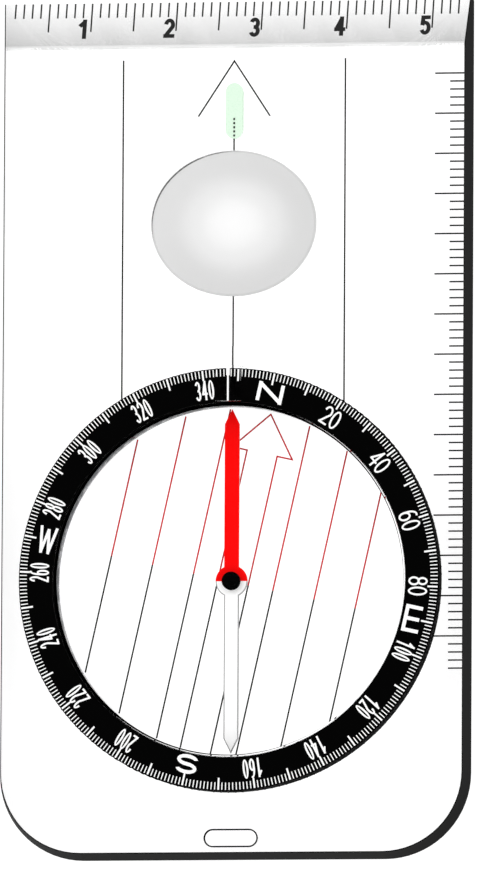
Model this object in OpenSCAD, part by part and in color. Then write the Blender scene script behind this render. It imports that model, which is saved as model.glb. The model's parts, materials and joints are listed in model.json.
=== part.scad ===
// Baseplate compass. Millimetres, +Z up. The origin is on the resting plane, at the middle of the
// compass's outline; +Y is the direction of travel and the ruler edge is the front.

/* [Baseplate] */
// Width of the plate's top face
plate_w = 54; // [53:0.5:66]
// Length of the plate's top face
plate_len = 99.3; // [96:0.1:130]
// Thickness of the plate
plate_t = 3.5; // [2.8:0.1:4.5]
// How far the side and rear walls lean out from top to bottom
wall_draft = 0.55; // [0.1:0.05:0.7]
// Radius of the two rear corners
corner_r = 9.4; // [4:0.1:14]
// Depth of the bevelled ruler edge, seen from above
bevel_depth = 5.4; // [4.8:0.1:7]
// Thickness left at the ruler edge
bevel_lip = 1.3; // [0.8:0.1:2]
// Thickness of the black lacquer on the plate's walls
lacquer_t = 0.12; // [0.05:0.01:0.2]
// Length of the lanyard slot
slot_len = 6; // [4:0.1:12]
// Width of the lanyard slot
slot_w = 1.8; // [1.2:0.1:2]
// Rear edge of the top face to the slot's centre line
slot_from_rear = 1.74; // [1.5:0.01:3]

/* [Magnifier] */
// Width of the oval lens
lens_w = 19.4; // [14:0.1:24]
// Length of the oval lens, along the plate
lens_len = 17; // [12:0.1:19]
// Front edge to the lens's centre
lens_from_front = 26.15; // [25:0.05:28]
// Radius of the lens's domed face
lens_dome_r = 40; // [25:1:80]
// How far the lens's flat underside is lifted clear of the map
lens_lift = 0.4; // [0.1:0.1:1]
// Height of the domed face's lowest rim above the plate
lens_rim = 0.1; // [0.05:0.05:0.5]

/* [Travel mark] */
// Front edge to the tip of the travel arrow
arrow_from_front = 7.2; // [6:0.1:8]
// Length of the travel arrow
arrow_len = 6.45; // [4:0.05:8]
// Half the span of the travel arrow
arrow_half = 4.2; // [2:0.1:6]
// Length of the luminous marker
glow_len = 6.5; // [4:0.1:7]
// Width of the luminous marker
glow_w = 2; // [1:0.1:3]
// Depth of the luminous marker's pocket
glow_depth = 1; // [0.5:0.1:1.5]
// Front edge to the front of the luminous marker
glow_from_front = 9.75; // [9:0.05:10.5]
// Centre line to each outer direction line
outer_line_x = 13; // [11:0.1:20]
// Front edge to the start of the outer direction lines
outer_line_from_front = 7; // [6:0.1:10]

/* [Scales] */
// Length of a short ruler mark, seen from above
ruler_short = 1.8; // [1:0.1:2]
// Length of a long ruler mark, seen from above
ruler_long = 3.5; // [2.5:0.1:4]
// Height of the ruler's numerals, seen from above
ruler_numeral_h = 2.35; // [1.5:0.05:2.6]
// Width of the ruler's numerals
ruler_numeral_w = 1.3; // [0.8:0.05:1.8]
// Front edge to the top of the ruler's numerals
ruler_numeral_from_front = 2; // [1.9:0.05:2.4]
// Pitch of the side scale
side_pitch = 0.9346; // [0.5:0.0001:2]
// Front edge to the first mark of the side scale
side_first = 8.9; // [7:0.1:12]
// Rear edge to the end of the side scale, at least
side_rear_margin = 21.2; // [15:0.1:40]
// Length of a short side mark
side_short = 1.75; // [1:0.05:2]
// Length of a long side mark
side_long = 3.5; // [2.5:0.1:4]
// Width of a printed line
ink_w = 0.18; // [0.1:0.01:0.3]
// Width of the strokes of the ruler's numerals
ruler_stroke = 0.48; // [0.2:0.01:0.5]

/* [Dial] */
// Outer radius of the dial ring
dial_r = 24.53; // [20:0.01:26]
// Width of the ring's face
ring_w = 3.91; // [3.3:0.01:4.7]
// Rear edge of the top face to the dial's centre
dial_from_rear = 31.5; // [28:0.1:36]
// Height of the dial ring
ring_h = 2.7; // [2.4:0.1:3.5]
// Thickness of the ring's flange over the window's rim
flange_t = 0.6; // [0.4:0.1:0.8]
// Bearing read at the index, in degrees
bearing = 347.5; // [0:0.5:359.5]
// Length of a one-degree mark
degree_mark = 0.96; // [0.6:0.01:1.1]
// Length of a ten-degree mark
ten_mark = 1.5; // [1:0.05:1.8]
// Width of a ten-degree mark
ten_mark_w = 0.2; // [0.1:0.01:0.4]
// Width of a numeral group on the ring
numeral_w = 2.2; // [1.8:0.01:2.8]
// Width of the numerals' strokes
numeral_stroke = 0.22; // [0.12:0.01:0.26]
// Width of the cardinal letters' strokes
letter_stroke = 0.42; // [0.25:0.01:0.5]

/* [Capsule] */
// Thickness of the capsule's round wall
capsule_wall = 1.15; // [1:0.05:1.6]
// How much of the capsule's wall shows inside the ring
wall_shown = 0.37; // [0.2:0.01:0.6]
// Thickness of the capsule's floor
floor_t = 1.3; // [1:0.1:1.5]
// Inside height of the capsule
cavity_h = 2.8; // [2.7:0.1:3.2]
// Thickness of the window's rim
window_rim_t = 0.7; // [0.5:0.1:0.9]
// Height of the window above the ring
window_proud = 0.2; // [0:0.05:0.4]
// First orienting line to the centre line
orient_first = 4.75; // [4:0.05:5]
// Pitch of the orienting lines
orient_pitch = 4.925; // [4:0.025:5]
// Half the width of the orienting arrow's shaft
orient_shaft = 1.8; // [1.2:0.1:2.5]
// Half the width of the orienting arrow's head
orient_head = 3.6; // [2.6:0.1:4.2]
// Length of the orienting arrow's head
orient_head_len = 4.8; // [3:0.1:6]

/* [Needle] */
// Width of the needle
needle_w = 1.73; // [1.2:0.01:2.4]
// Thickness of the needle's steel strip
needle_t = 0.25; // [0.15:0.05:0.4]
// Length of each pointed tip
tip_len = 1.75; // [1:0.05:3]
// Radius of the needle's round middle
shoulder_r = 1.87; // [1.6:0.01:2.5]
// Radius of the pivot pin
pin_r = 0.45; // [0.3:0.01:0.55]
// Radius of the black cap on the needle
cap_r = 1.06; // [0.95:0.01:1.4]

/* [Index] */
// Width of the clear index bridge
bridge_w = 3; // [2.4:0.1:4]
// Length of the bridge's foot
bridge_foot = 2.2; // [1.6:0.1:3]
// Thickness of the bridge's arm
bridge_t = 0.8; // [0.6:0.1:1.2]
// Width of the index line beside the degree marks
index_w = 0.4; // [0.2:0.01:0.6]
// Width of the index line beside the numerals
index_thin_w = 0.2; // [0.15:0.01:0.4]

/* [Fits] */
// Radial running clearance of the dial in the plate
dial_clear = 0.08; // [0.03:0.01:0.1]
// Radial running clearance of the needle's bush on the pin
pin_clear = 0.05; // [0.02:0.01:0.1]
// Gap between the ring's underside and the plate
ring_gap = 0.1; // [0.08:0.01:0.2]
// Gap left by a part that turns past another
turn_gap = 0.3; // [0.2:0.05:0.4]
// Needle tip to capsule wall
tip_gap = 0.25; // [0.15:0.05:0.5]
// Thickness of every printed mark
ink_t = 0.05; // [0.03:0.01:0.06]

/* [Hidden] */
$fn = 96;
eps = 0.01;              // overshoot of a cutter
cm = 10;                 // millimetres between ruler numerals
mark_gap = 0.15;         // ruler numeral to the mark at its right
dot = 0.24;              // length of a dot, and of the gap after it
dots = 5;                // dots of the travel line beside the luminous marker

// Plate outline
front_y = (plate_len + wall_draft) / 2;
rear_y = front_y - plate_len;                  // rear edge of the top face
corner_y = rear_y + corner_r;
bevel_angle = atan2(plate_t - bevel_lip, bevel_depth);
slope = 1 / cos(bevel_angle);                  // length on the bevel per length seen from above
slot_rim_z = plate_t - 0.3;                    // lowest lacquer round the slot's mouth
slot_rim_w = 0.17;                             // width of that lacquer

// Dial stack, from the plate's top upwards and then down into the capsule
dial_y = rear_y + dial_from_rear;
ring_z = plate_t + ring_gap;
ring_top = ring_z + ring_h;
ring_in_r = dial_r - ring_w;
edge_break = 0.12;                             // broken edge round the ring and the window
flange_z = ring_top - flange_t;
cover_z = flange_z - window_rim_t;
floor_z = cover_z - cavity_h;                  // top of the capsule's floor
window_top = ring_top + window_proud;
window_gap = 0.05;
capsule_in_r = ring_in_r - wall_shown;
capsule_r = capsule_in_r + capsule_wall;
bore_r = capsule_r + dial_clear;

// Snap ring under the plate
recess_depth = 1;                              // the recess that hides the snap ring
snap_t = 0.46;
snap_gap = 0.07;
snap_bite = 0.45;                              // depth of the snap ring's groove
snap_cut = 1;                                  // how far the groove's cutter starts outside
snap_reach = 1.4;                              // how far the snap ring reaches past the capsule
snap_split = 20;                               // degrees left open to spread the ring
snap_z = recess_depth - snap_gap - snap_t;
snap_room = 0.2;                               // recess wall to the snap ring's rim
recess_r = capsule_r + snap_reach + snap_room;
skirt_z = 0.35;                                // the capsule's skirt stays clear of the map

// Felt ring between plate and dial
felt_w = 0.9;
felt_depth = 0.5;
felt_gap = 0.02;
felt_r = (bore_r + dial_r) / 2;

// Seal and filler plug
seal_w = 0.45;
seal_h = 0.4;
seal_r = capsule_r - capsule_wall / 2;
plug_r = 0.5;
plug_past = 1;                                 // how far the plug's bore is cut past each face
plug_z = (floor_z + cover_z - seal_h) / 2;

// Pivot and needle stack
boss_r = 1.1;
boss_h = 0.5;
pin_depth = 0.6;                               // how deep the pin is set in the floor
bush_gap = 0.15;
bush_r = 0.86;
bush_h = 1.4;
jewel_r = 0.68;
jewel_h = 0.42;
cup_depth = 0.25;
point_len = 0.4;
point_r = 0.06;
point_gap = 0.02;
bush_z = floor_z + boss_h + bush_gap;
bush_top = bush_z + bush_h;
jewel_z = bush_top - jewel_h;
point_z = jewel_z + cup_depth - point_gap;
bar_rise = 0.4;                                // bush's foot to the steel strip
bar_z = bush_z + bar_rise;
bar_top = bar_z + needle_t;
cap_t = 0.3;
needle_len = capsule_in_r - tip_gap;           // centre to tip
white_inset = 0.13;                            // bare steel left round the white lacquer

// Index bridge
arm_z = ring_top + ink_t + turn_gap;
arm_top = arm_z + bridge_t;
foot_y = dial_y + dial_r + turn_gap;
peg_r = 0.4;
peg_len = 1.8;
peg_edge = 0.25;                               // wall left beside a peg
peg_x = bridge_w / 2 - peg_r - peg_edge;
line_relief = 0.4;                             // width of the groove that clears the travel line

// Orienting lines end just inside the capsule's wall
orient_r = capsule_in_r - 0.12;
orient_x = [for (i = [0:2]) orient_first + orient_pitch * i];

// Ring print
numeral_outer_gap = 0.33;
numeral_inner_gap = 0.36;
numeral_h = ring_w - degree_mark - numeral_outer_gap - numeral_inner_gap;
numeral_in_r = ring_in_r + numeral_inner_gap;
numeral_step = 20;
digit_gap = 0.13;
letter_h = numeral_h;
letter_tall = 3.15;                            // height of E and W, which stand along the ring

// ---- Printed lines and characters ----------------------------------------------------------

function unit(v) = v / norm(v);
function arc(c, rx, ry, a, b, n = 12) =
    [for (i = [0:n]) let (t = a + (b - a) * i / n) [c[0] + rx * cos(t), c[1] + ry * sin(t)]];
function oval(c, rx, ry, n = 24) =
    [for (i = [0:n - 1]) let (t = 360 * i / n) [c[0] + rx * cos(t), c[1] + ry * sin(t)]];

// A point of a line moved sideways by d, with its corners mitred
function beside(p, i, d) =
    let (
        before = i > 0 ? unit(p[i] - p[i - 1]) : unit(p[1] - p[0]),
        after = i < len(p) - 1 ? unit(p[i + 1] - p[i]) : before,
        mid = unit(before + after)
    ) p[i] + [-mid[1], mid[0]] * d / (mid * before);

module line2d(p, w) {
    n = len(p) - 1;
    polygon(concat([for (i = [0:n]) beside(p, i, w / 2)], [for (i = [n:-1:0]) beside(p, i, -w / 2)]));
}

// A straight stroke from p to q, with square ends that reach past them by cap
module stem(p, q, w, cap) {
    past = unit(q - p) * w / 2 * cap;
    line2d([p - past, q + past], w);
}

// A curved stroke along part of an oval, or all of it
module bow(c, rx, ry, a, b, w) {
    if (b - a < 360)
        polygon(concat(arc(c, rx + w / 2, ry + w / 2, a, b), arc(c, rx - w / 2, ry - w / 2, b, a)));
    else
        difference() {
            polygon(oval(c, rx + w / 2, ry + w / 2));
            polygon(oval(c, rx - w / 2, ry - w / 2));
        }
}

// Straight strokes of each character in a unit square: both ends, and whether the ends are capped
function stems(c) =
    c == "1" ? [[[0.55, 0], [0.55, 1], 1], [[0.55, 0.97], [-0.15, 0.68], 0]] :
    c == "2" ? [[[0.9, 0.56], [0.04, 0.02], 0], [[0, 0], [1, 0], 1]] :
    c == "3" ? [[[0.36, 0.51], [0.56, 0.51], 0]] :
    c == "4" ? [[[0.74, 0], [0.74, 1], 1], [[0.74, 1], [0, 0.3], 0], [[0, 0.3], [1, 0.3], 1]] :
    c == "5" ? [[[0.16, 1], [0.92, 1], 1], [[0.16, 1], [0.08, 0.5], 0]] :
    c == "6" ? [[[0, 0.28], [0, 0.52], 0]] :
    c == "N" ? [[[0, 0], [0, 1], 1], [[0, 1], [1, 0], 0], [[1, 0], [1, 1], 1]] :
    c == "E" ? [[[0, 0], [0, 1], 1], [[0, 1], [1, 1], 1], [[0, 0.5], [0.9, 0.5], 1], [[0, 0], [1, 0], 1]] :
    c == "W" ? [[[0, 1], [0.26, 0], 1], [[0.26, 0], [0.5, 0.96], 0],
                [[0.5, 0.96], [0.74, 0], 0], [[0.74, 0], [1, 1], 1]] :
    [];
// Curved strokes: centre, both radii, and the angles at which the stroke starts and ends
function bows(c) =
    c == "0" ? [[[0.5, 0.5], 0.5, 0.5, 0, 360]] :
    c == "2" ? [[[0.5, 0.7], 0.5, 0.3, -30, 170]] :
    c == "3" ? [[[0.5, 0.75], 0.46, 0.25, -85, 160], [[0.5, 0.26], 0.5, 0.26, -160, 85]] :
    c == "5" ? [[[0.48, 0.33], 0.52, 0.33, -155, 145]] :
    c == "6" ? [[[0.5, 0.3], 0.5, 0.3, 0, 360], [[0.62, 0.5], 0.62, 0.5, 70, 180]] :
    c == "8" ? [[[0.5, 0.76], 0.44, 0.24, 0, 360], [[0.5, 0.27], 0.5, 0.27, 0, 360]] :
    c == "S" ? [[[0.5, 0.75], 0.5, 0.25, 15, 275], [[0.5, 0.25], 0.5, 0.25, -165, 95]] :
    [];

// One printed character, w wide and h high with strokes s wide, standing on the origin
module character(c, w, h, s) {
    box = [w - s, h - s];
    low = [s, s] / 2;
    linear_extrude(ink_t) {
        for (k = stems(c))
            stem(low + [k[0][0] * box[0], k[0][1] * box[1]], low + [k[1][0] * box[0], k[1][1] * box[1]],
                 s, k[2]);
        for (k = bows(c))
            bow(low + [k[0][0] * box[0], k[0][1] * box[1]], k[1] * box[0], k[2] * box[1], k[3], k[4], s);
    }
}

// A printed number whose digits share the width w
module number(value, w, h, s) {
    digits = str(value);
    count = len(digits);
    cell = (w - (count - 1) * digit_gap) / count;
    for (i = [0:count - 1])
        translate([i * (cell + digit_gap) - w / 2, 0, 0]) character(digits[i], cell, h, s);
}

// ---- Shared shapes -------------------------------------------------------------------------

// The plate's drafted and bevelled block, with its side and rear walls moved out by g and its ruler
// edge moved out by past
module plate_block(g, past) {
    foot = wall_draft + g;
    lip_y = front_y + past;
    lip_z = bevel_lip - past * tan(bevel_angle);
    half = plate_w / 2;
    core = half - corner_r;
    intersection() {
        translate([0, lip_y + eps, 0]) rotate([90, 0, 0])
            linear_extrude(lip_y + eps - corner_y)
                polygon([[-half - foot, 0], [half + foot, 0], [half + g, plate_t], [-half - g, plate_t]]);
        rotate([90, 0, 90]) translate([0, 0, -plate_w])
            linear_extrude(2 * plate_w)
                polygon([[corner_y - eps, 0], [lip_y, 0], [lip_y, lip_z],
                         [front_y - bevel_depth, plate_t], [corner_y - eps, plate_t]]);
    }
    rotate([90, 0, 90]) translate([0, 0, -core]) linear_extrude(2 * core)
        polygon([[rear_y - foot, 0], [corner_y, 0], [corner_y, plate_t], [rear_y - g, plate_t]]);
    for (side = [0, 1])
        translate([side ? core : -core, corner_y, 0]) rotate([0, 0, side ? 270 : 180])
            rotate_extrude(angle = 90)
                polygon([[0, 0], [corner_r + foot, 0], [corner_r + g, plate_t], [0, plate_t]]);
}

module bar2d(length, width) {
    square([length - width, width], center = true);
    for (side = [-1, 1]) translate([side * (length - width) / 2, 0]) circle(d = width);
}

module slot_outline(g) {
    translate([0, rear_y + slot_from_rear]) bar2d(slot_len + 2 * g, slot_w + 2 * g);
}

module lens_outline() {
    polygon(oval([0, front_y - lens_from_front], lens_w / 2, lens_len / 2, 96));
}

module glow_outline() {
    translate([0, front_y - glow_from_front - glow_len / 2]) rotate(90) bar2d(glow_len, glow_w);
}

module tube(r_out, r_in, h) {
    difference() {
        cylinder(r = r_out, h = h);
        translate([0, 0, -eps]) cylinder(r = r_in, h = h + 2 * eps);
    }
}

module at_dial() translate([0, dial_y, 0]) children();
module on_dial() at_dial() rotate([0, 0, bearing]) children();
module on_plate() translate([0, 0, plate_t]) children();
module on_bevel() translate([0, front_y, bevel_lip]) rotate([-bevel_angle, 0, 0]) children();
module on_ring() on_dial() translate([0, 0, ring_top]) children();

module pegs(r) {
    for (side = [-1, 1])
        translate([side * peg_x, foot_y + bridge_foot / 2, plate_t - peg_len])
            cylinder(r = r, h = peg_len + eps, $fn = 32);
}

// ---- Baseplate -----------------------------------------------------------------------------

module baseplate() {
    color([0.93, 0.96, 0.97, 0.5]) difference() {
        plate_block(-lacquer_t, 0);
        at_dial() {
            translate([0, 0, -eps]) cylinder(r = bore_r, h = plate_t + 2 * eps);
            translate([0, 0, -eps]) cylinder(r = recess_r, h = recess_depth + eps);
            translate([0, 0, plate_t - felt_depth])
                tube(felt_r + felt_w / 2, felt_r - felt_w / 2, felt_depth + eps);
        }
        translate([0, 0, -eps]) linear_extrude(plate_t + 2 * eps) lens_outline();
        translate([0, 0, plate_t - glow_depth]) linear_extrude(glow_depth + eps) glow_outline();
        translate([0, 0, -eps]) linear_extrude(plate_t + 2 * eps) slot_outline(0);
        translate([0, 0, slot_rim_z]) linear_extrude(plate_t - slot_rim_z + eps) slot_outline(slot_rim_w);
        pegs(peg_r);
    }
}

// The ruler edge stays clear, and the slot has lacquer only round its mouth
module edge_lacquer() {
    color("#262626") {
        difference() {
            plate_block(0, 0);
            plate_block(-lacquer_t, eps);
        }
        translate([0, 0, slot_rim_z]) linear_extrude(plate_t - slot_rim_z) difference() {
            slot_outline(slot_rim_w);
            slot_outline(0);
        }
    }
}

module magnifier_lens() {
    dome_z = plate_t + lens_rim - sqrt(lens_dome_r ^ 2 - (lens_w / 2) ^ 2);
    color([0.9, 0.93, 0.95, 0.6]) intersection() {
        translate([0, 0, lens_lift]) linear_extrude(plate_t + lens_dome_r) lens_outline();
        translate([0, front_y - lens_from_front, dome_z]) sphere(r = lens_dome_r);
    }
}

module luminous_marker() {
    color("#e0ffe0") translate([0, 0, plate_t - glow_depth])
        linear_extrude(glow_depth) glow_outline();
}

module front_scale_marks() {
    color("black") on_bevel() for (mm = [1:ceil(plate_w) - 1]) {
        length = (mm % 5 == 0 ? ruler_long : ruler_short) * slope;
        translate([mm - plate_w / 2 - ink_w / 2, -length, 0]) cube([ink_w, length - ink_t, ink_t]);
    }
}

module front_scale_numerals() {
    beside_mark = ruler_numeral_w / 2 + mark_gap;
    foot = (ruler_numeral_from_front + ruler_numeral_h) * slope;
    color("black") on_bevel() for (i = [1:floor((plate_w - 1) / cm)])
        translate([i * cm - plate_w / 2 - beside_mark, -foot, 0])
            number(i, ruler_numeral_w, ruler_numeral_h * slope, ruler_stroke);
}

module side_scale_marks() {
    count = floor((plate_len - side_first - side_rear_margin) / side_pitch);
    color("black") on_plate() for (i = [0:count]) {
        length = i % 5 == 0 ? side_long : side_short;
        translate([plate_w / 2 - length, front_y - side_first - i * side_pitch - ink_w / 2, 0])
            cube([length, ink_w, ink_t]);
    }
}

module travel_arrow() {
    tip = front_y - arrow_from_front;
    color("black") on_plate() linear_extrude(ink_t)
        line2d([[-arrow_half, tip - arrow_len], [0, tip], [arrow_half, tip - arrow_len]], ink_w);
}

module travel_line() {
    glow_end = front_y - glow_from_front - glow_len;
    lens_front = front_y - lens_from_front + lens_len / 2;
    lens_rear = lens_front - lens_len;
    ring_front = dial_y + dial_r;
    color("black") on_plate() {
        translate([-ink_w / 2, lens_front, 0]) cube([ink_w, glow_end - lens_front, ink_t]);
        translate([-ink_w / 2, ring_front, 0]) cube([ink_w, lens_rear - ring_front, ink_t]);
        for (i = [1:dots])
            translate([-ink_w / 2, glow_end + (2 * i - 1) * dot, 0]) cube([ink_w, dot, ink_t]);
    }
}

module auxiliary_lines() {
    start = front_y - outer_line_from_front;
    end = dial_y + sqrt(dial_r ^ 2 - outer_line_x ^ 2);
    color("black") on_plate() for (side = [-1, 1])
        translate([side * outer_line_x - ink_w / 2, end, 0]) cube([ink_w, start - end, ink_t]);
}

module index_bridge() {
    reach = dial_y + ring_in_r;
    slant = bridge_t;
    color([0.93, 0.96, 0.97, 0.5]) {
        difference() {
            rotate([90, 0, 90]) translate([0, 0, -bridge_w / 2]) linear_extrude(bridge_w)
                polygon([[foot_y, plate_t], [foot_y + bridge_foot, plate_t],
                         [foot_y + bridge_foot, arm_top - slant],
                         [foot_y + bridge_foot - slant, arm_top], [reach, arm_top],
                         [reach, arm_z], [foot_y, arm_z]]);
            translate([-line_relief / 2, foot_y - eps, plate_t - eps])
                cube([line_relief, bridge_foot + 2 * eps, 2 * ink_t + eps]);
        }
        pegs(peg_r);
    }
}

module index_line() {
    wide = dial_y + dial_r - degree_mark;
    color("white") translate([0, 0, arm_top]) {
        translate([-index_w / 2, wide, 0]) cube([index_w, degree_mark, ink_t]);
        translate([-index_thin_w / 2, dial_y + ring_in_r, 0])
            cube([index_thin_w, ring_w - degree_mark, ink_t]);
    }
}

module glide_ring() {
    color("#404040") at_dial() translate([0, 0, plate_t - felt_depth])
        tube(felt_r + felt_w / 2, felt_r - felt_w / 2, felt_depth + ring_gap - felt_gap);
}

// ---- Turning dial --------------------------------------------------------------------------

module dial_ring() {
    color("black") at_dial() rotate_extrude()
        polygon([[capsule_r, ring_z], [dial_r - edge_break, ring_z], [dial_r, ring_z + edge_break],
                 [dial_r, ring_top - edge_break], [dial_r - edge_break, ring_top],
                 [ring_in_r, ring_top], [ring_in_r, flange_z], [capsule_r, flange_z]]);
}

// A mark over a numeral ends where the numeral begins
module ten_degree_marks() {
    color("white") on_ring() for (a = [0:10:350]) {
        over_numeral = a % numeral_step == 0 && a % 90 != 0;
        length = over_numeral ? min(ten_mark, degree_mark + numeral_outer_gap) : ten_mark;
        rotate([0, 0, -a]) translate([-ten_mark_w / 2, dial_r - length, 0])
            cube([ten_mark_w, length - edge_break, ink_t]);
    }
}

module dial_numerals() {
    color("white") on_ring() for (a = [numeral_step:numeral_step:360 - numeral_step])
        if (a != 180) rotate([0, 0, -a]) translate([0, numeral_in_r, 0])
            number(a, numeral_w, numeral_h, numeral_stroke);
}

// N, E, S and W all stand upright when north is up
module cardinal_letters() {
    n_w = 3.06;
    s_w = 2.5;
    e_w = 2;
    w_w = 2.1;
    w_stroke = 0.75 * letter_stroke;           // the W's strokes stand close together
    inset = [0.15, 0.35, 0.22];                // E, W and S stand a little nearer to the window
    mid_r = numeral_in_r + letter_h / 2;
    color("white") on_ring() {
        translate([-n_w / 2, mid_r - letter_h / 2, 0]) character("N", n_w, letter_h, letter_stroke);
        translate([mid_r - inset[0] - e_w / 2, -letter_tall / 2, 0])
            character("E", e_w, letter_tall, letter_stroke);
        translate([inset[1] - mid_r - w_w / 2, -letter_tall / 2, 0])
            character("W", w_w, letter_tall, w_stroke);
        translate([-s_w / 2, inset[2] - mid_r - letter_h / 2, 0])
            character("S", s_w, letter_h, letter_stroke);
    }
}

module capsule_base() {
    color([0.95, 0.97, 0.98, 0.5]) difference() {
        at_dial() rotate_extrude()
            polygon([[0, floor_z - floor_t], [capsule_in_r, floor_z - floor_t],
                     [capsule_in_r, skirt_z], [capsule_r, skirt_z], [capsule_r, cover_z],
                     [capsule_in_r, cover_z], [capsule_in_r, floor_z], [boss_r, floor_z],
                     [boss_r, floor_z + boss_h], [0, floor_z + boss_h]]);
        at_dial() {
            translate([0, 0, snap_z]) tube(capsule_r + snap_cut, capsule_r - snap_bite, snap_t);
            translate([0, 0, cover_z - seal_h])
                tube(seal_r + seal_w / 2, seal_r - seal_w / 2, seal_h + eps);
            translate([0, 0, floor_z - pin_depth]) cylinder(r = pin_r, h = pin_depth + boss_h + eps);
        }
        on_dial() plug_bore();
    }
}

// The filling hole runs through the capsule's wall on the south side
module plug_bore() {
    translate([0, -capsule_in_r + plug_past, plug_z]) rotate([90, 0, 0])
        cylinder(r = plug_r, h = capsule_wall + 2 * plug_past, $fn = 32);
}

module capsule_cover() {
    window_r = ring_in_r - window_gap;
    color([0.95, 0.97, 0.98, 0.4]) at_dial() rotate_extrude()
        polygon([[0, cover_z], [capsule_r, cover_z], [capsule_r, flange_z], [window_r, flange_z],
                 [window_r, window_top - edge_break], [window_r - edge_break, window_top],
                 [0, window_top]]);
}

module capsule_seal() {
    color("#303030") at_dial() translate([0, 0, cover_z - seal_h])
        tube(seal_r + seal_w / 2, seal_r - seal_w / 2, seal_h);
}

module filler_plug() {
    color("#303030") intersection() {
        on_dial() plug_bore();
        at_dial() tube(capsule_r, capsule_in_r, cover_z);
    }
}

module retaining_ring() {
    color("#8a8d90") on_dial() translate([0, 0, snap_z])
        rotate_extrude(angle = 360 - snap_split)
            polygon([[capsule_r - snap_bite, 0], [capsule_r + snap_reach, 0],
                     [capsule_r + snap_reach, snap_t], [capsule_r - snap_bite, snap_t]]);
}

// Ink on the capsule's floor, from the middle to the chord's end on the side given
module orienting_lines(direction) {
    on_dial() translate([0, 0, floor_z]) for (x = orient_x, side = [-1, 1]) {
        end = sqrt(orient_r ^ 2 - x ^ 2);
        translate([side * x - ink_w / 2, direction > 0 ? 0 : -end, 0]) cube([ink_w, end, ink_t]);
    }
}

module orienting_lines_north() {
    color("#c8202a") orienting_lines(1);
}

module orienting_lines_south() {
    end = sqrt(orient_r ^ 2 - orient_shaft ^ 2);
    color("black") {
        orienting_lines(-1);
        on_dial() translate([0, 0, floor_z]) for (side = [-1, 1])
            translate([side * orient_shaft - ink_w / 2, -end, 0]) cube([ink_w, end, ink_t]);
    }
}

module orienting_arrow() {
    neck = orient_r - orient_head_len;
    half = [[orient_shaft, 0], [orient_shaft, neck], [orient_head, neck]];
    color("#c8202a") on_dial() translate([0, 0, floor_z]) linear_extrude(ink_t)
        line2d(concat(half, [[0, orient_r - ink_w]],
                           [for (i = [2:-1:0]) [-half[i][0], half[i][1]]]), ink_w);
}

module pivot_pin() {
    color("silver") at_dial() {
        translate([0, 0, floor_z - pin_depth])
            cylinder(r = pin_r, h = point_z - point_len - floor_z + pin_depth);
        translate([0, 0, point_z - point_len]) cylinder(r1 = pin_r, r2 = point_r, h = point_len);
    }
}

// ---- Needle --------------------------------------------------------------------------------

// Outline of the needle on one side of its middle, drawn towards +Y and drawn in by g
module needle_half(g) {
    half = needle_w / 2 - g;
    tip = tip_len * half / (needle_w / 2);
    length = needle_len - g / sin(atan2(needle_w / 2, tip_len));
    polygon([[-half, 0], [half, 0], [half, length - tip], [0, length], [-half, length - tip]]);
    intersection() {
        circle(r = shoulder_r - g);
        translate([-shoulder_r, 0]) square([2 * shoulder_r, shoulder_r]);
    }
}

module needle_bar() {
    color("#bebebe") at_dial() translate([0, 0, bar_z]) difference() {
        linear_extrude(needle_t) {
            needle_half(0);
            mirror([0, 1]) needle_half(0);
        }
        translate([0, 0, -eps]) cylinder(r = bush_r, h = needle_t + 2 * eps);
    }
}

module lacquer(g) {
    translate([0, 0, bar_top]) difference() {
        linear_extrude(ink_t) needle_half(g);
        translate([0, 0, -eps]) cylinder(r = cap_r, h = ink_t + 2 * eps);
    }
}

module north_lacquer() {
    color("red") at_dial() lacquer(0);
}

module south_lacquer() {
    color("white") at_dial() rotate([0, 0, 180]) lacquer(white_inset);
}

module needle_bush() {
    color("#b8903a") at_dial() translate([0, 0, bush_z]) difference() {
        cylinder(r = bush_r, h = bush_h);
        translate([0, 0, -eps]) cylinder(r = pin_r + pin_clear, h = bush_h + 2 * eps);
        translate([0, 0, bush_h - jewel_h]) cylinder(r = jewel_r, h = jewel_h + eps);
    }
}

module jewel_cup() {
    color("#b03050") at_dial() translate([0, 0, jewel_z]) difference() {
        cylinder(r = jewel_r, h = jewel_h);
        translate([0, 0, -eps])
            cylinder(r1 = pin_r + pin_clear, r2 = point_r, h = cup_depth + eps);
    }
}

module hub_cap() {
    color("black") at_dial() difference() {
        rotate_extrude()
            polygon([[0, bar_top], [cap_r, bar_top], [cap_r, bush_top], [cap_r - cap_t, bush_top + cap_t],
                     [0, bush_top + cap_t]]);
        translate([0, 0, bar_top - eps]) cylinder(r = bush_r, h = bush_top - bar_top + eps);
    }
}

baseplate();
edge_lacquer();
magnifier_lens();
luminous_marker();
front_scale_marks();
front_scale_numerals();
side_scale_marks();
travel_arrow();
travel_line();
auxiliary_lines();
index_bridge();
index_line();
glide_ring();
dial_ring();
ten_degree_marks();
dial_numerals();
cardinal_letters();
capsule_base();
capsule_cover();
capsule_seal();
filler_plug();
retaining_ring();
orienting_lines_north();
orienting_lines_south();
orienting_arrow();
pivot_pin();
needle_bar();
north_lacquer();
south_lacquer();
needle_bush();
jewel_cup();
hub_cap();
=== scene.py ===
# %% [markdown]
# # Finishing a baseplate compass
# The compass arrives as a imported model: every moulded, turned or printed piece is already a mesh in its
# own place. This lesson gives each of them its real finish, adds the two things that repeat hundreds of
# times round the dial, and lights it all like a catalogue picture.

# %% Load the fixed frame
import json
import math

import bmesh
import bpy
from mathutils import Matrix, Vector


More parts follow.
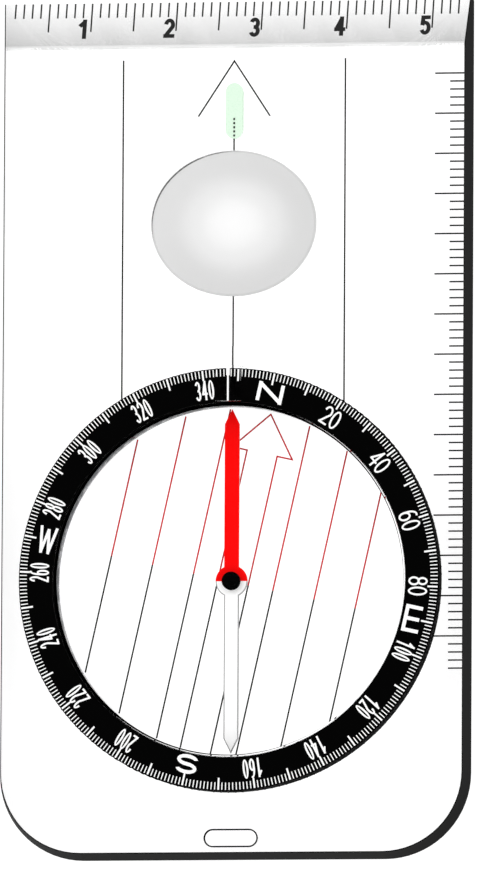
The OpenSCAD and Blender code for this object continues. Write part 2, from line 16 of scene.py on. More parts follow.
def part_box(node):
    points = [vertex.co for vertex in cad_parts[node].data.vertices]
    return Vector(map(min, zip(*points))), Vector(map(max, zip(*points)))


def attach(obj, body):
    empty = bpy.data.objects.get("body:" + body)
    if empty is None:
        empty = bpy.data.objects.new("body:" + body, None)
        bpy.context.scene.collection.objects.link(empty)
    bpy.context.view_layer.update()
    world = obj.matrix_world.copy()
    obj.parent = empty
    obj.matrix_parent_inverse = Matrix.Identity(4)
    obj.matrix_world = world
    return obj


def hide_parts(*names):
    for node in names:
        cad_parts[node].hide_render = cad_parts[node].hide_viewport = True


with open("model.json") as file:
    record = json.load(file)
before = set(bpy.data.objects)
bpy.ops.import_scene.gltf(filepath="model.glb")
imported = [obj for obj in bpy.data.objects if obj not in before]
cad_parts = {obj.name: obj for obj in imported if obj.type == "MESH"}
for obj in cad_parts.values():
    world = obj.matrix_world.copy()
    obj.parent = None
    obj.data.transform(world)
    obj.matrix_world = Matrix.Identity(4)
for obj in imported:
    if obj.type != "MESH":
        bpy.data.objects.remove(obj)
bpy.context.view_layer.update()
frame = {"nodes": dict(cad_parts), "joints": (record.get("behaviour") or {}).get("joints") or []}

MM = 0.001

# %% [markdown]
# ## Where things are
# Every place in this file is worked out from the frame, so a change of the model moves the details with
# it. The dial turns about its joint, and north on the dial is where the orienting arrow's tip points.

# %% Measure the dial
joint_at = {joint["name"]: Vector(joint["pos_m"]) for joint in frame["joints"]}
dial_centre = joint_at["dial_turn"]
ring_low, ring_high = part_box("dial_ring")
plate_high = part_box("baseplate")[1]
lens_low, lens_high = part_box("magnifier_lens")
ring_r = (ring_high.x - ring_low.x) / 2
arrow_tip = max(
    (vertex.co for vertex in frame["nodes"]["orienting_arrow"].data.vertices),
    key=lambda point: (point - dial_centre).xy.length,
)
north = math.atan2(arrow_tip.y - dial_centre.y, arrow_tip.x - dial_centre.x) - math.pi / 2
print(f"ring radius {ring_r / MM:.2f} mm, north stands at {math.degrees(north):.1f} degrees")

# %% [markdown]
# ## Two helpers
# Colours are written as the hex values a designer reads off a screen, and one function turns them into
# the linear values that light works in. One more function adds any node, with its settings and links.


# %% Helpers
def linear(hex_colour):
    """A hex screen colour as the linear red, green, blue and alpha that shaders use."""
    parts = [int(hex_colour[i:i + 2], 16) / 255 for i in (1, 3, 5)]
    return (*(c / 12.92 if c <= 0.04045 else ((c + 0.055) / 1.055) ** 2.4 for c in parts), 1.0)


def add(tree, kind, inputs=None, **settings):
    """One node. An input is given by name or number, as a value or as the output that feeds it."""
    made = tree.nodes.new(kind)
    for name, value in settings.items():
        setattr(made, name, value)
    for key, value in (inputs or {}).items():
        if isinstance(value, bpy.types.NodeSocket):
            tree.links.new(value, made.inputs[key])
        else:
            made.inputs[key].default_value = value
    return made


def blank_material(name):
    """An empty material: its node tree, ready for a surface."""
    material = bpy.data.materials.new(name)
    material.use_nodes = True
    material.node_tree.nodes.clear()
    return material, material.node_tree


def piece_of(name, mesh, material, body):
    """Adds a finished piece, which rides on a body and takes the material it is given."""
    mesh.materials.append(material)
    made = bpy.data.objects.new(name, mesh)
    bpy.context.scene.collection.objects.link(made)
    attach(made, body)
    print(f"{name}: {len(mesh.polygons)} faces, rides on {body}")
    return made


def smooth_but_crisp(mesh):
    """Round faces shade smoothly and corners sharper than 30 degrees stay crisp."""
    mesh.shade_smooth()
    mesh.set_sharp_from_angle(angle=math.radians(30))


def paint(material, *nodes):
    """Puts the material on CAD nodes."""
    for name in nodes:
        frame["nodes"][name].material_slots[0].material = material
    print(f"{material.name}: {', '.join(nodes)}")


print("mid grey #808080 is", round(linear("#808080")[0], 3), "in linear light")

# %% [markdown]
# ## Clear acrylic
# The plate and the index bridge are cast acrylic (PMMA), moulded and polished. It bends light with an
# IOR of 1.49 and is as smooth as glass, but it scratches in a pocket, so a breath of fine scratches
# lies in its bump. A shadow ray passes straight through, because a clear sheet on a table casts
# almost no shadow. The bevel under the ruler is a wedge, and its shading is painted into the tint: a
# painted shade, a little greyer towards the wedge's thick end. That painted shade follows the Y of
# Object coordinates, because the wedge grows thicker along Y.


# %% Clear acrylic
ACRYLIC_IOR = 1.49
SCRATCH_PITCH = 0.6 * MM  # hairline scratches stand a little over half a millimetre apart
SCRATCH_STRETCH = 0.06  # and are some sixteen times as long as they are wide
SCRATCH_HEADING = math.radians(24)  # a pocket scratches a plate mostly one way
SCRATCH_DEPTH = 0.004 * MM
POCKET_WEAR, FACTORY_POLISH = 0.12, 0.05  # how much of that depth a used and a guarded face show
BEVEL_DEPTH = 5.4 * MM  # from the thin edge back to the step up to the flat top
PAINTED_SHADE_STARTS = 0.7 * MM  # how far behind the thin edge the bevel's painted shade begins to deepen


def see_through(tree, surface, tint):
    """Ends a clear material: refraction for the eye, and an open gap for light that only passes through."""
    path = add(tree, "ShaderNodeLightPath")
    gap = add(tree, "ShaderNodeBsdfTransparent", {"Color": tint})
    ending = surface.outputs["BSDF"]
    for ray in ("Is Shadow Ray", "Is Diffuse Ray"):
        mixed = add(tree, "ShaderNodeMixShader", {0: path.outputs[ray], 1: ending,
                                                  2: gap.outputs["BSDF"]})
        ending = mixed.outputs["Shader"]
    add(tree, "ShaderNodeOutputMaterial", {"Surface": ending})


def hairlines(tree, strength):
    """Fine scratches, long in one direction and faint, as a bump."""
    place = add(tree, "ShaderNodeTexCoord")
    stretched = add(tree, "ShaderNodeMapping", {"Vector": place.outputs["Object"],
                                                "Rotation": (0, 0, SCRATCH_HEADING),
                                                "Scale": (1, SCRATCH_STRETCH, 1)})
    noise = add(tree, "ShaderNodeTexNoise", {"Vector": stretched.outputs["Vector"],
                                             "Scale": 1 / SCRATCH_PITCH, "Detail": 3.0, "Roughness": 0.7})
    return add(tree, "ShaderNodeBump", {"Height": noise.outputs["Fac"], "Strength": strength,
                                        "Distance": SCRATCH_DEPTH})


def clear_acrylic():
    material, tree = blank_material("polished_clear_acrylic")
    place = add(tree, "ShaderNodeTexCoord")
    split = add(tree, "ShaderNodeSeparateXYZ", {"Vector": place.outputs["Object"]})
    bevel_ends = plate_high.y - BEVEL_DEPTH
    wedge = add(tree, "ShaderNodeMapRange", {"Value": split.outputs["Y"],
                                             "From Min": plate_high.y - PAINTED_SHADE_STARTS,
                                             "From Max": bevel_ends})
    # painted shade on the bevel: the tint runs from a light grey at the thin edge to a darker grey at the
    # thick end
    shade = add(tree, "ShaderNodeMix", {0: wedge.outputs["Result"], 6: linear("#e9e9e9"),
                                        7: linear("#b2b2b2")}, data_type="RGBA")
    on_bevel = add(tree, "ShaderNodeMath", {0: split.outputs["Y"], 1: bevel_ends},
                   operation="GREATER_THAN")
    tint = add(tree, "ShaderNodeMix", {0: on_bevel.outputs["Value"], 6: linear("#ffffff"),
                                       7: shade.outputs[2]}, data_type="RGBA")
    surface = add(tree, "ShaderNodeBsdfPrincipled", {
        "Base Color": tint.outputs[2], "Transmission Weight": 1.0, "IOR": ACRYLIC_IOR,
        "Roughness": 0.0, "Normal": hairlines(tree, POCKET_WEAR).outputs["Normal"]})
    see_through(tree, surface, linear("#ffffff"))
    return material


paint(clear_acrylic(), "baseplate")

# %% [markdown]
# ## The index bridge
# The bridge is a small clear arm that stands on the plate with its foot flat on the acrylic. Where two
# clear solids share a face exactly, light rays are caught between them and the face renders black. A
# real joint has a hair of air or glue there, so a copy of the bridge is drawn in by ten microns. The
# bridge is meant not to be seen: the eye should find only the white line on it. Its small thick block
# would bend the lines under it, so a low IOR keeps them straight.

# %% Draw the bridge in
GLUE_GAP = 0.01 * MM
BRIDGE_IOR = 1.05


def clear_plastic(name, ior):
    """A polished clear plastic with no tint of its own."""
    material, tree = blank_material(name)
    surface = add(tree, "ShaderNodeBsdfPrincipled", {
        "Base Color": linear("#ffffff"), "Transmission Weight": 1.0, "IOR": ior, "Roughness": 0.0,
        "Normal": hairlines(tree, FACTORY_POLISH).outputs["Normal"]})
    see_through(tree, surface, linear("#ffffff"))
    return material


def drawn_in(node):
    """The merged mesh of a CAD node with every face moved inwards by the glue gap."""
    solid = bmesh.new()
    solid.from_mesh(frame["nodes"][node].data)
    bmesh.ops.remove_doubles(solid, verts=solid.verts, dist=GLUE_GAP / 20)
    solid.normal_update()
    moved = [vertex.co - vertex.normal * GLUE_GAP for vertex in solid.verts]
    mesh = bpy.data.meshes.new(node + "_clear")
    mesh.from_pydata(moved, [], [[v.index for v in face.verts] for face in solid.faces])
    solid.free()
    smooth_but_crisp(mesh)
    return mesh


bridge = piece_of("clear_index_bridge", drawn_in("index_bridge"),
                  clear_plastic("moulded_clear_bridge", BRIDGE_IOR), "baseplate")
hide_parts("index_bridge")

# %% [markdown]
# ## The magnifier
# The lens is the same acrylic, ground to a dome and edged to an oval. Its face is part of a sphere, so
# its height at any point follows from the sphere's radius, and the radius follows from the rise of
# the crown over the rim. Rings of points, each an oval a little larger than the last, give a rim that
# stays round in a close view. The rim is broken with a tiny bevel, as lens makers leave it.

# %% Shape the lens
LENS_SIDES = 144
LENS_RINGS = 18
RING_SPREAD = 0.8  # below 1, so the rings stand closer together towards the rim
BACK_SHARES = (1, 0.75, 0.5, 0.25)  # the rings on the flat back, as shares of the rim
RIM_BREAK = 0.12 * MM
lens_middle = (lens_low + lens_high) / 2
lens_half = (lens_high - lens_low) / 2 - Vector((GLUE_GAP, GLUE_GAP, 0))
at_wide_ends = [vertex.co.z for vertex in frame["nodes"]["magnifier_lens"].data.vertices
                if abs(vertex.co.x - lens_middle.x) > lens_half.x - 0.05 * MM]
crown_rise = lens_high.z - max(at_wide_ends)
dome_r = (lens_half.x ** 2 + crown_rise ** 2) / (2 * crown_rise)
print(f"crown {crown_rise / MM:.2f} mm over the rim, so the dome's radius is {dome_r / MM:.1f} mm")


def lens_mesh():
    """Rings from the crown over the rim and under the flat back, closed at both middles."""
    def ring(share, inset, height):
        made = []
        for i in range(LENS_SIDES):
            turned = 2 * math.pi * i / LENS_SIDES
            x = (lens_half.x - inset) * share * math.cos(turned)
            y = (lens_half.y - inset) * share * math.sin(turned)
            made.append((lens_middle.x + x, lens_middle.y + y, height(x, y)))
        return made

    def dome(x, y):
        return lens_high.z - dome_r + math.sqrt(dome_r ** 2 - x ** 2 - y ** 2)

    def below_dome(x, y):
        return dome(x, y) - RIM_BREAK

    def back(x, y):
        return lens_low.z

    rings = [ring((k / LENS_RINGS) ** RING_SPREAD, RIM_BREAK, dome) for k in range(1, LENS_RINGS + 1)]
    rings += [ring(1, 0, below_dome), ring(1, 0, lambda x, y: lens_low.z + RIM_BREAK)]
    rings += [ring(share, RIM_BREAK, back) for share in BACK_SHARES]
    points = [point for made in rings for point in made]
    points += [(lens_middle.x, lens_middle.y, lens_high.z), (lens_middle.x, lens_middle.y, lens_low.z)]
    crown, underside = len(points) - 2, len(points) - 1
    last = (len(rings) - 1) * LENS_SIDES
    faces = []
    for i in range(LENS_SIDES):
        j = (i + 1) % LENS_SIDES
        faces.append((crown, i, j))
        faces.append((underside, last + j, last + i))
        for k in range(len(rings) - 1):
            near, far = k * LENS_SIDES, (k + 1) * LENS_SIDES
            faces.append((near + i, far + i, far + j, near + j))
    mesh = bpy.data.meshes.new("oval_magnifier")
    mesh.from_pydata(points, [], faces)
    smooth_but_crisp(mesh)
    return mesh


# %% [markdown]
# ## The magnifier's finish and painted shade
# The lens's tint carries painted shade: nearly white in the middle, a soft painted grey towards the
# rim, where a real lens bends more light aside, and a thin darker painted line on the broken rim.
# Both follow the distance from the lens's axis, measured on the oval.


# %% Lens acrylic
# painted shade: the lens's tint is light in the middle, greyer towards the rim and darkest on the rim
LENS_PAINTED_SHADE_STOPS = ((0.0, "#f0f0f0"), (0.2, "#ededed"), (0.3, "#e9e9e9"), (0.4, "#e3e3e3"), (0.5, "#dfdfdf"),
              (0.6, "#d9d9d9"), (0.7, "#d3d3d3"), (0.8, "#d0d0d0"), (0.965, "#cecece"),
              (0.985, "#bcbcbc"), (1.0, "#acacac"))


def lens_acrylic():
    material, tree = blank_material("lens_acrylic_painted_shade")
    place = add(tree, "ShaderNodeTexCoord")
    centred = add(tree, "ShaderNodeVectorMath", {0: place.outputs["Object"],
                                                 1: (lens_middle.x, lens_middle.y, 0)},
                  operation="SUBTRACT")
    oval = add(tree, "ShaderNodeVectorMath", {0: centred.outputs["Vector"],
                                              1: (1 / lens_half.x, 1 / lens_half.y, 0)},
               operation="MULTIPLY")
    distance = add(tree, "ShaderNodeVectorMath", {0: oval.outputs["Vector"]}, operation="LENGTH")
    tint = add(tree, "ShaderNodeValToRGB", {"Fac": distance.outputs["Value"]})
    for stop, _ in LENS_PAINTED_SHADE_STOPS[1:-1]:
        tint.color_ramp.elements.new(stop)
    for element, (stop, colour) in zip(tint.color_ramp.elements, LENS_PAINTED_SHADE_STOPS):
        element.position, element.color = stop, linear(colour)
    surface = add(tree, "ShaderNodeBsdfPrincipled", {
        "Base Color": tint.outputs["Color"], "Transmission Weight": 1.0, "IOR": ACRYLIC_IOR,
        "Roughness": 0.0})
    see_through(tree, surface, linear("#ffffff"))
    return material


magnifier = piece_of("oval_magnifier", lens_mesh(), lens_acrylic(), "baseplate")
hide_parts("magnifier_lens")

# %% [markdown]
# ## The capsule
# The capsule is moulded from clear styrene-acrylonitrile, in two halves welded round the rim, and is
# full of a light damping oil. The window's top meets the air, so it keeps some gloss. The cup below it
# meets oil, which bends light almost as the plastic does: its wall and floor can hardly be seen, so the
# cup's IOR is close to 1 and the lines on its floor stay crisp.

# %% Capsule plastic
WINDOW_IOR = 1.2
IN_OIL_IOR = 1.03
paint(clear_plastic("moulded_clear_window", WINDOW_IOR), "capsule_cover")
paint(clear_plastic("moulded_clear_cup", IN_OIL_IOR), "capsule_base")

# %% [markdown]
# ## Black parts
# The bezel and the needle's cap are black acetal with a fine spark-eroded grain: nearly matt, with a
# soft sheen at grazing angles. The plate's walls are coated with a satin black lacquer that paints them
# as dark as shaded sides, a painted shade; the coat has the faint orange peel of any sprayed coat.
# Rounding the corners in the normal gives the edges the thin highlight that every moulded edge has.


# %% Black acetal and lacquer
RELIEF = 0.01 * MM  # how far the grain of a moulding and the orange peel of a coat stand out
GRAIN_PITCH = 0.12 * MM
EDGE_ROUNDING = 0.08 * MM
PEEL_PITCH = 0.5 * MM


def black_acetal():
    material, tree = blank_material("spark_grained_black_acetal")
    place = add(tree, "ShaderNodeTexCoord")
    grain = add(tree, "ShaderNodeTexNoise", {"Vector": place.outputs["Object"],
                                             "Scale": 1 / GRAIN_PITCH, "Detail": 2.0})
    edges = add(tree, "ShaderNodeBevel", {"Radius": EDGE_ROUNDING}, samples=4)
    bump = add(tree, "ShaderNodeBump", {"Height": grain.outputs["Fac"], "Strength": 0.25,
                                        "Distance": RELIEF, "Normal": edges.outputs["Normal"]})
    rough = add(tree, "ShaderNodeMapRange", {"Value": grain.outputs["Fac"], "To Min": 0.75,
                                             "To Max": 0.9})
    surface = add(tree, "ShaderNodeBsdfPrincipled", {
        "Base Color": linear("#010101"), "Roughness": rough.outputs["Result"], "IOR": 1.48,
        "Specular IOR Level": 0.03, "Normal": bump.outputs["Normal"]})
    add(tree, "ShaderNodeOutputMaterial", {"Surface": surface.outputs["BSDF"]})
    return material


def wall_coat_painted_shade():
    material, tree = blank_material("sprayed_wall_coat_painted_shade")
    place = add(tree, "ShaderNodeTexCoord")
    peel = add(tree, "ShaderNodeTexNoise", {"Vector": place.outputs["Object"],
                                            "Scale": 1 / PEEL_PITCH, "Detail": 1.0})
    bump = add(tree, "ShaderNodeBump", {"Height": peel.outputs["Fac"], "Strength": 0.2,
                                        "Distance": RELIEF})
    surface = add(tree, "ShaderNodeBsdfPrincipled", {
        "Base Color": linear("#101010"), "Roughness": 0.5, "IOR": 1.5,
        "Specular IOR Level": 0.01, "Normal": bump.outputs["Normal"]})
    add(tree, "ShaderNodeOutputMaterial", {"Surface": surface.outputs["BSDF"]})
    return material


acetal = black_acetal()
paint(acetal, "dial_ring", "hub_cap")
# painted shade: the black coat on the walls makes the plate's sides dark
paint(wall_coat_painted_shade(), "edge_lacquer")

# %% [markdown]
# ## Printing inks
# The scales are pad-printed: a soft silicone pad lays down a film a few hundredths of a millimetre
# thick. The film is matt and even, with a slight mottle where the pad lifted. Black, white and red
# inks differ only in pigment, so one function makes all three.


# %% Inks
MOTTLE_PITCH = 0.3 * MM


def pad_ink(name, pigment, thin):
    """Ink of one pigment. thin is the slightly lighter or darker tone where the film is thin."""
    material, tree = blank_material(name)
    place = add(tree, "ShaderNodeTexCoord")
    mottle = add(tree, "ShaderNodeTexNoise", {"Vector": place.outputs["Object"],
                                              "Scale": 1 / MOTTLE_PITCH, "Detail": 2.0})
    tone = add(tree, "ShaderNodeMix", {0: mottle.outputs["Fac"], 6: linear(pigment),
                                       7: linear(thin)}, data_type="RGBA")
    surface = add(tree, "ShaderNodeBsdfPrincipled", {
        "Base Color": tone.outputs[2], "Roughness": 0.6, "IOR": 1.5, "Specular IOR Level": 0.3})
    add(tree, "ShaderNodeOutputMaterial", {"Surface": surface.outputs["BSDF"]})
    return material


paint(pad_ink("black_pad_ink", "#000000", "#0c0c0c"), "front_scale_marks", "front_scale_numerals",
      "side_scale_marks", "travel_arrow", "travel_line", "auxiliary_lines", "orienting_lines_south")
white_ink = pad_ink("white_pad_ink", "#ffffff", "#f4f4f4")
paint(white_ink, "index_line", "ten_degree_marks", "dial_numerals", "cardinal_letters")
paint(pad_ink("red_pad_ink", "#d41c28", "#c41c26"), "orienting_lines_north", "orienting_arrow")

# %% [markdown]
# ## The luminous marker
# Behind the travel arrow sits a bar of phosphorescent paste: pale green strontium aluminate crystals
# in clear resin. By daylight it is nearly white with a green cast and a fine sparkle of grains.


# %% Glow paste
CRYSTAL_PITCH = 0.18 * MM  # real crystals are finer, and are drawn this coarse so that they show


def glow_paste():
    material, tree = blank_material("strontium_aluminate_paste")
    place = add(tree, "ShaderNodeTexCoord")
    grains = add(tree, "ShaderNodeTexVoronoi", {"Vector": place.outputs["Object"],
                                                "Scale": 1 / CRYSTAL_PITCH})
    tone = add(tree, "ShaderNodeMix", {0: grains.outputs["Distance"], 6: linear("#e2f9e4"),
                                       7: linear("#d6f0da")}, data_type="RGBA")
    surface = add(tree, "ShaderNodeBsdfPrincipled", {
        "Base Color": tone.outputs[2], "Roughness": 0.5, "IOR": 1.52})
    add(tree, "ShaderNodeOutputMaterial", {"Surface": surface.outputs["BSDF"]})
    return material


paint(glow_paste(), "luminous_marker")

# %% [markdown]
# ## The needle
# The needle is a strip of spring steel, magnetised and lacquered: bright red to the north, white to
# the south, where a line of bare steel shows round the lacquer. It hangs on a ruby cup in a brass
# bush, over a hardened steel point.


# %% Lacquers, steel, brass and ruby
THIN_COAT_PEEL = 0.8 * MM
BRUSH_PITCH = 0.08 * MM
BRUSH_STRETCH = 0.05  # brush lines are twenty times as long as they are wide
PAINTED_GLOW_SHARE = 0.12  # a painted glow, as a share of full white, that lightens the white lacquer's shade


def gloss_lacquer(name, pigment, painted_glow=0.0):
    """A gloss lacquer. A white one can be given an even glow, a painted light that lightens its shade."""
    material, tree = blank_material(name)
    place = add(tree, "ShaderNodeTexCoord")
    peel = add(tree, "ShaderNodeTexNoise", {"Vector": place.outputs["Object"],
                                            "Scale": 1 / THIN_COAT_PEEL, "Detail": 1.0})
    bump = add(tree, "ShaderNodeBump", {"Height": peel.outputs["Fac"], "Strength": 0.15,
                                        "Distance": RELIEF})
    surface = add(tree, "ShaderNodeBsdfPrincipled", {
        "Base Color": linear(pigment), "Roughness": 0.25, "IOR": 1.5, "Specular IOR Level": 0.3,
        "Emission Color": linear("#ffffff"), "Emission Strength": painted_glow,
        "Normal": bump.outputs["Normal"]})
    add(tree, "ShaderNodeOutputMaterial", {"Surface": surface.outputs["BSDF"]})
    return material


def brushed_metal(name, tone, along):
    """A metal with fine brush lines, which run along the axis given."""
    material, tree = blank_material(name)
    place = add(tree, "ShaderNodeTexCoord")
    stretch = tuple(BRUSH_STRETCH if axis == along else 1.0 for axis in "xyz")
    drawn = add(tree, "ShaderNodeMapping", {"Vector": place.outputs["Object"], "Scale": stretch})
    lines = add(tree, "ShaderNodeTexNoise", {"Vector": drawn.outputs["Vector"],
                                             "Scale": 1 / BRUSH_PITCH, "Detail": 2.0})
    rough = add(tree, "ShaderNodeMapRange", {"Value": lines.outputs["Fac"], "To Min": 0.45,
                                             "To Max": 0.65})
    surface = add(tree, "ShaderNodeBsdfPrincipled", {
        "Base Color": linear(tone), "Metallic": 1.0, "Roughness": rough.outputs["Result"]})
    add(tree, "ShaderNodeOutputMaterial", {"Surface": surface.outputs["BSDF"]})
    return material


def synthetic_ruby():
    material, tree = blank_material("polished_synthetic_ruby")
    surface = add(tree, "ShaderNodeBsdfPrincipled", {
        "Base Color": linear("#c8385a"), "Transmission Weight": 0.8, "IOR": 1.77, "Roughness": 0.02})
    add(tree, "ShaderNodeOutputMaterial", {"Surface": surface.outputs["BSDF"]})
    return material


paint(gloss_lacquer("bright_red_lacquer", "#ff0000"), "north_lacquer")
# painted light: the white lacquer glows a little, so its shaded parts stay white
paint(gloss_lacquer("white_lacquer_painted_glow", "#fafafa", PAINTED_GLOW_SHARE), "south_lacquer")
paint(brushed_metal("magnetised_strip_steel", "#c8c8c8", "y"), "needle_bar", "pivot_pin")
paint(brushed_metal("snap_ring_steel", "#a8aaad", "z"), "retaining_ring")
paint(brushed_metal("turned_brass", "#c8a050", "z"), "needle_bush")
paint(synthetic_ruby(), "jewel_cup")

# %% [markdown]
# ## Felt and rubber
# A ring of grey wool felt in the plate's groove gives the dial its drag. Black nitrile rubber seals
# the capsule and plugs its filling hole.


# %% Soft seals
FIBRE_PITCH = 0.15 * MM
FIBRE_NAP = 0.05 * MM
BLOOM_PITCH = 0.4 * MM  # the pale cloudiness that rubber gets as it ages


def wool_felt():
    material, tree = blank_material("grey_wool_felt")
    place = add(tree, "ShaderNodeTexCoord")
    fibres = add(tree, "ShaderNodeTexNoise", {"Vector": place.outputs["Object"],
                                              "Scale": 1 / FIBRE_PITCH, "Detail": 4.0})
    tone = add(tree, "ShaderNodeMix", {0: fibres.outputs["Fac"], 6: linear("#3a3a3a"),
                                       7: linear("#5a5a5a")}, data_type="RGBA")
    bump = add(tree, "ShaderNodeBump", {"Height": fibres.outputs["Fac"], "Strength": 0.8,
                                        "Distance": FIBRE_NAP})
    surface = add(tree, "ShaderNodeBsdfPrincipled", {
        "Base Color": tone.outputs[2], "Roughness": 0.95, "Sheen Weight": 0.4,
        "Normal": bump.outputs["Normal"]})
    add(tree, "ShaderNodeOutputMaterial", {"Surface": surface.outputs["BSDF"]})
    return material


def nitrile_rubber():
    material, tree = blank_material("black_nitrile_rubber")
    place = add(tree, "ShaderNodeTexCoord")
    bloom = add(tree, "ShaderNodeTexNoise", {"Vector": place.outputs["Object"],
                                             "Scale": 1 / BLOOM_PITCH, "Detail": 2.0})
    tone = add(tree, "ShaderNodeMix", {0: bloom.outputs["Fac"], 6: linear("#101010"),
                                       7: linear("#1e1e1e")}, data_type="RGBA")
    surface = add(tree, "ShaderNodeBsdfPrincipled", {
        "Base Color": tone.outputs[2], "Roughness": 0.7, "IOR": 1.52})
    add(tree, "ShaderNodeOutputMaterial", {"Surface": surface.outputs["BSDF"]})
    return material


paint(wool_felt(), "glide_ring")
paint(nitrile_rubber(), "capsule_seal", "filler_plug")

# %% [markdown]
# ## What repeats round the dial
# A dial has 360 one-degree marks, less the 36 heavier ones that the model already has, and its side is
# ribbed so that a gloved finger can turn it. Both follow one rule, so Geometry Nodes place them: a
# circle of points, one small solid on each, turned to face the middle. The tree's sizes are named
# inputs, and it ends by making the instances real, because an export keeps only real faces.


# %% A tree that sets solids round a ring
def ring_tree(name, skip, solid):
    """Instances round a circle. Every skip-th place is left empty, and solid adds the repeated shape."""
    tree = bpy.data.node_groups.new(name, "GeometryNodeTree")
    for label, kind in (("Count", "Int"), ("Radius", "Float"), ("Width", "Float"),
                        ("Depth", "Float"), ("Height", "Float"), ("Centre", "Vector"),
                        ("Turn", "Float"), ("Finish", "Material")):
        tree.interface.new_socket(label, in_out="INPUT", socket_type="NodeSocket" + kind)
    tree.interface.new_socket("Geometry", in_out="OUTPUT", socket_type="NodeSocketGeometry")
    sizes = add(tree, "NodeGroupInput").outputs
    circle = add(tree, "GeometryNodeMeshCircle", {"Vertices": sizes["Count"],
                                                  "Radius": sizes["Radius"]})
    index = add(tree, "GeometryNodeInputIndex")
    step = add(tree, "ShaderNodeMath", {0: 2 * math.pi, 1: sizes["Count"]}, operation="DIVIDE")
    angle = add(tree, "ShaderNodeMath", {0: index.outputs["Index"], 1: step.outputs["Value"]},
                operation="MULTIPLY")
    turned = add(tree, "ShaderNodeCombineXYZ", {"Z": angle.outputs["Value"]})
    place_in_group = add(tree, "ShaderNodeMath", {0: index.outputs["Index"], 1: skip},
                         operation="MODULO")
    kept = add(tree, "ShaderNodeMath", {0: place_in_group.outputs["Value"], 1: 0.5},
               operation="GREATER_THAN")
    shape = solid(tree, sizes)
    spread = add(tree, "GeometryNodeInstanceOnPoints", {
        "Points": circle.outputs["Mesh"], "Selection": kept.outputs["Value"],
        "Instance": shape, "Rotation": turned.outputs["Vector"]})
    heading = add(tree, "ShaderNodeCombineXYZ", {"Z": sizes["Turn"]})
    moved = add(tree, "GeometryNodeTransform", {
        "Geometry": spread.outputs["Instances"], "Translation": sizes["Centre"],
        "Rotation": heading.outputs["Vector"]})
    real = add(tree, "GeometryNodeRealizeInstances", {"Geometry": moved.outputs["Geometry"]})
    finished = add(tree, "GeometryNodeSetMaterial", {"Geometry": real.outputs["Geometry"],
                                                     "Material": sizes["Finish"]})
    add(tree, "NodeGroupOutput", {"Geometry": finished.outputs["Geometry"]})
    return tree


def grown(name, tree, **sizes):
    """Runs the tree with these sizes and returns the result as a plain mesh."""
    seed = bpy.data.objects.new(name + "_tree", bpy.data.meshes.new(name + "_tree"))
    bpy.context.scene.collection.objects.link(seed)
    modifier = seed.modifiers.new("grow", "NODES")
    modifier.node_group = tree
    for item in tree.interface.items_tree:
        if item.in_out == "INPUT":
            modifier[item.identifier] = sizes[item.name]
    depsgraph = bpy.context.evaluated_depsgraph_get()
    mesh = bpy.data.meshes.new_from_object(seed.evaluated_get(depsgraph), depsgraph=depsgraph)
    mesh.name = name
    mesh.materials.clear()
    bpy.data.objects.remove(seed)
    return mesh


# %% The one-degree marks
def printed_bar(tree, sizes):
    size = add(tree, "ShaderNodeCombineXYZ", {"X": sizes["Depth"], "Y": sizes["Width"],
                                              "Z": sizes["Height"]})
    return add(tree, "GeometryNodeMeshCube", {"Size": size.outputs["Vector"]}).outputs["Mesh"]


INK_HEIGHT = 0.05 * MM
DEGREE_MARK = 0.96 * MM  # from the ring's outer corner inwards
DEGREE_MARK_WIDTH = 0.11 * MM
EDGE_BREAK = 0.12 * MM  # the ring's corner is broken this far in, and ink starts behind it
DEGREES, HEAVY_EVERY = 360, 10
degree_mesh = grown(
    "degree_marks", ring_tree("degree_marks", HEAVY_EVERY, printed_bar),
    Count=DEGREES, Radius=ring_r - EDGE_BREAK - (DEGREE_MARK - EDGE_BREAK) / 2, Width=DEGREE_MARK_WIDTH,
    Depth=DEGREE_MARK - EDGE_BREAK, Height=INK_HEIGHT,
    Centre=(dial_centre.x, dial_centre.y, ring_high.z + INK_HEIGHT / 2), Turn=north,
    Finish=white_ink,
)
piece_of("degree_marks", degree_mesh, white_ink, "dial")


# %% The grip ribs
RIB_SIDES = 10
RIB_RADIUS = 0.22 * MM
RIB_PROUD = 0.06 * MM
RIB_MARGIN = 0.3 * MM
RIB_PLACES, RIB_GROUP = 180, 6  # every sixth place is a gap, so the ribs stand in fives


def half_round(tree, sizes):
    rib = add(tree, "GeometryNodeMeshCylinder", {"Vertices": RIB_SIDES, "Radius": sizes["Width"],
                                                 "Depth": sizes["Height"]})
    return rib.outputs["Mesh"]


rib_mesh = grown(
    "grip_ribs", ring_tree("grip_ribs", RIB_GROUP, half_round),
    Count=RIB_PLACES, Radius=ring_r + RIB_PROUD - RIB_RADIUS, Width=RIB_RADIUS, Depth=0.0,
    Height=ring_high.z - ring_low.z - 2 * RIB_MARGIN,
    Centre=(dial_centre.x, dial_centre.y, (ring_low.z + ring_high.z) / 2), Turn=north,
    Finish=acetal,
)
piece_of("grip_ribs", rib_mesh, acetal, "dial")

# %% [markdown]
# ## Table, light and camera
# A compass is pictured from above, on white. The table is a pale matt board that is lit from below, as
# for most clear things, so that no grey shadow shows through the plate. The light is a white tent: the
# same soft light from all round, except straight overhead, where a black card round the camera's
# opening keeps glare out of the clear and the black parts. One large softbox gives them shape.


# %% Table
BOARD_GLOW = 0.92  # most of the board's white comes from below, the rest from the tent
BOARD_HALF = 2.0
FLECK_PITCH = 4 * MM


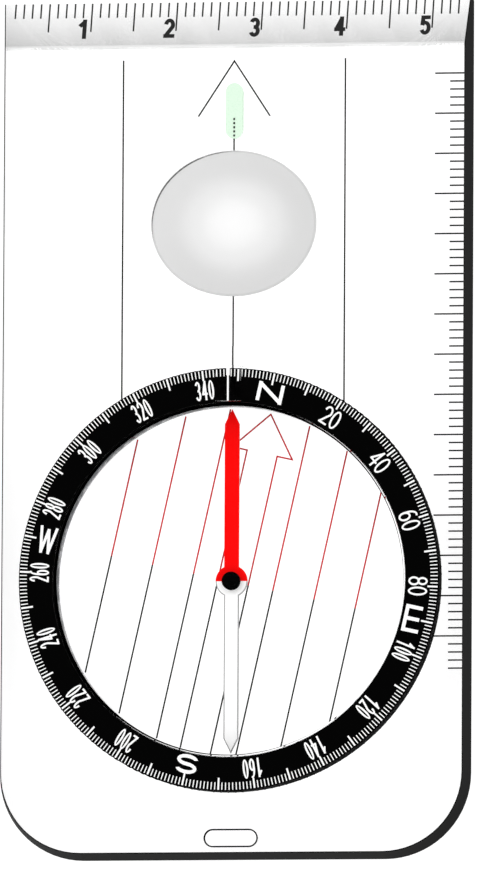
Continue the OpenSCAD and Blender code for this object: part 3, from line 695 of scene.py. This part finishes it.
def pale_board():
    material, tree = blank_material("pale_matt_board")
    place = add(tree, "ShaderNodeTexCoord")
    fleck = add(tree, "ShaderNodeTexNoise", {"Vector": place.outputs["Object"],
                                             "Scale": 1 / FLECK_PITCH, "Detail": 2.0})
    tone = add(tree, "ShaderNodeMix", {0: fleck.outputs["Fac"], 6: linear("#909090"),
                                       7: linear("#949494")}, data_type="RGBA")
    surface = add(tree, "ShaderNodeBsdfPrincipled", {
        "Base Color": tone.outputs[2], "Roughness": 0.9, "Specular IOR Level": 0.1,
        "Emission Color": linear("#ffffff"), "Emission Strength": BOARD_GLOW})
    add(tree, "ShaderNodeOutputMaterial", {"Surface": surface.outputs["BSDF"]})
    return material


board = bpy.data.meshes.new("table")
corners = [(x * BOARD_HALF, y * BOARD_HALF, 0) for x, y in ((-1, -1), (1, -1), (1, 1), (-1, 1))]
board.from_pydata(corners, [], [(0, 1, 2, 3)])
board.materials.append(pale_board())
table = bpy.data.objects.new("table", board)
bpy.context.scene.collection.objects.link(table)
print("table:", 2 * BOARD_HALF, "m square")

# %% Light
TENT_GLOW = 1.25
CARD_GLOW = 0.04  # the black card overhead, which keeps white glare off the dial and the inks
CARD_EDGE, TENT_STARTS = math.radians(22), math.radians(34)  # both measured from straight up
scene = bpy.context.scene
tent = bpy.data.worlds.new("white_tent")
tent.use_nodes = True
tent.node_tree.nodes.clear()
towards = add(tent.node_tree, "ShaderNodeTexCoord")
height = add(tent.node_tree, "ShaderNodeSeparateXYZ", {"Vector": towards.outputs["Object"]})
glow = add(tent.node_tree, "ShaderNodeMapRange", {
    "Value": height.outputs["Z"], "From Min": math.cos(TENT_STARTS),
    "From Max": math.cos(CARD_EDGE), "To Min": TENT_GLOW, "To Max": CARD_GLOW,
})
sky = add(tent.node_tree, "ShaderNodeBackground", {"Color": linear("#ffffff"),
                                                   "Strength": glow.outputs["Result"]})
add(tent.node_tree, "ShaderNodeOutputWorld", {"Surface": sky.outputs["Background"]})
scene.world = tent
scene.view_settings.view_transform = "Standard"


def softbox(name, place, size, watts):
    """A square lamp that faces the compass."""
    lamp = bpy.data.lights.new(name, "AREA")
    lamp.size = size
    lamp.energy = watts
    holder = bpy.data.objects.new(name, lamp)
    holder.location = place
    holder.rotation_euler = (Vector((0, 0, 0)) - Vector(place)).to_track_quat("-Z", "Y").to_euler()
    holder.visible_glossy = False
    holder.visible_transmission = False
    scene.collection.objects.link(holder)
    print(f"{name}: {watts} W at {tuple(place)}")


softbox("key_softbox", place=(-0.45, 0.35, 0.7), size=0.5, watts=1.6)

# %% [markdown]
# ## Camera
# The view is from above, leaning a little to the right and to the rear, so that the dark walls show
# along those two sides. A long lens far away keeps the edges parallel, as in a drawing.

# %% Camera
LEAN = math.radians(10)
ROLL = math.radians(-0.12)
lean_axis = Vector((0.565, 0.825, 0)).normalized()
turn = Matrix.Rotation(LEAN, 3, lean_axis) @ Matrix.Rotation(ROLL, 3, "Z")
FRAME_HEIGHT = 100.7 * MM  # how much of the table the picture's height takes in
LENS_LENGTH, SENSOR = 800, 36  # both in millimetres, as Blender's camera takes them
aim = Vector((1.39 * MM, -0.87 * MM, plate_high.z))  # the point at the middle of the picture
camera_data = bpy.data.cameras.new("camera")
camera_data.lens = LENS_LENGTH
camera_data.sensor_width = SENSOR
distance = FRAME_HEIGHT * camera_data.lens / camera_data.sensor_width
camera = bpy.data.objects.new("camera", camera_data)
camera.rotation_euler = turn.to_euler()
camera.location = aim + turn @ Vector((0, 0, distance))
scene.collection.objects.link(camera)
scene.camera = camera
print(f"camera {distance:.2f} m away, leaning {math.degrees(LEAN):.0f} degrees")
